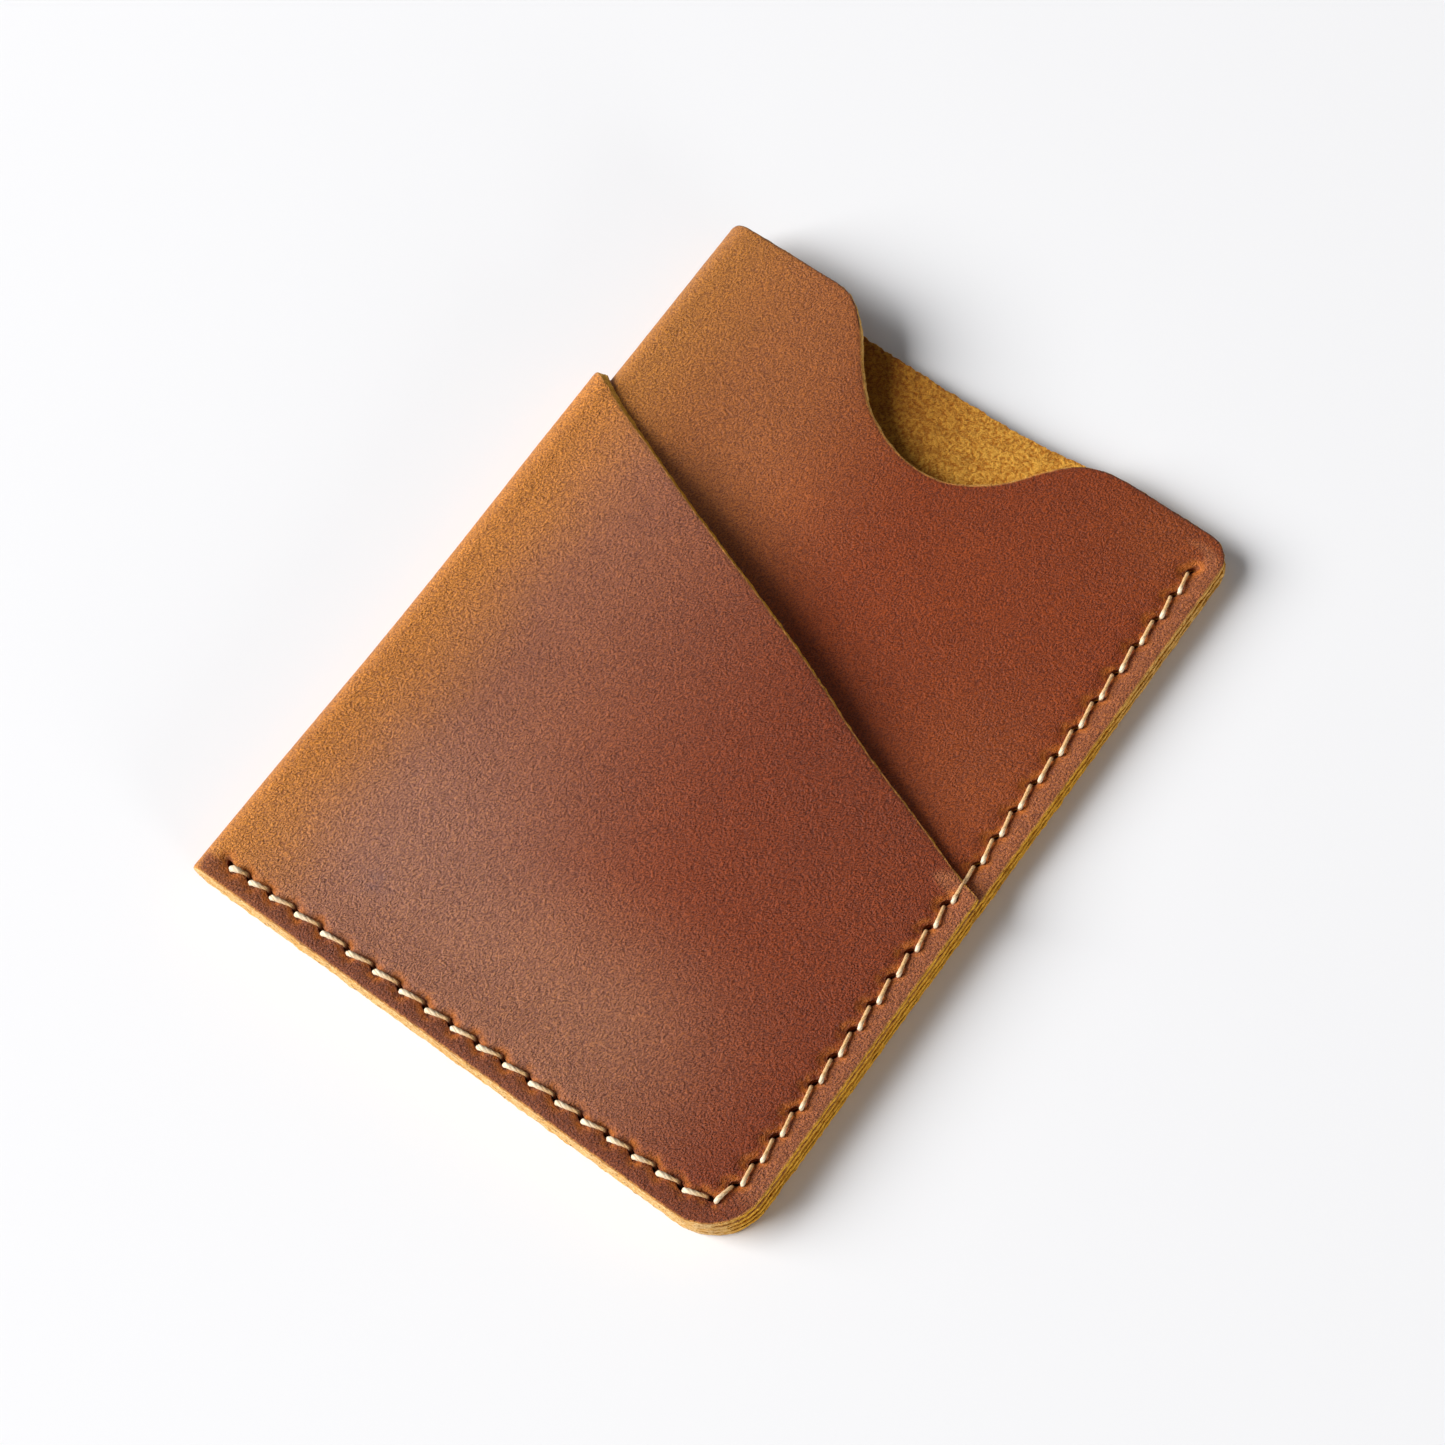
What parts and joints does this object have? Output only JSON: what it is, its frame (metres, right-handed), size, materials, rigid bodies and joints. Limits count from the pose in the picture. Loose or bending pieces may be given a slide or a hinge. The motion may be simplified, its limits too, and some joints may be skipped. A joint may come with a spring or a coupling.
{
  "type": "card holder",
  "caption": "Folded leather card holder with a thumb-notched inner pocket, a slanted front pocket and a hand-sewn bottom and side seam.",
  "frame": {"origin": "middle of the outline, on the back face that it lies on", "axes": "+X from the folded edge to the sewn side edge, +Y from the sewn bottom edge to the open top, +Z from the back to the front"},
  "size_m": [0.0698, 0.0942, 0.0075],
  "materials": {
    "leather_inner": "oiled pull-up grain outside, brushed flesh side inside, raw edges",
    "leather_outer": "oiled pull-up grain outside, brushed flesh side inside, raw edges",
    "waxed_thread": "twisted, waxed"
  },
  "bodies": {
    "root": {"core_body": "leather_inner", "outer_wrap": "leather_outer", "stitch_thread": "waxed_thread"}
  },
  "joints": []
}
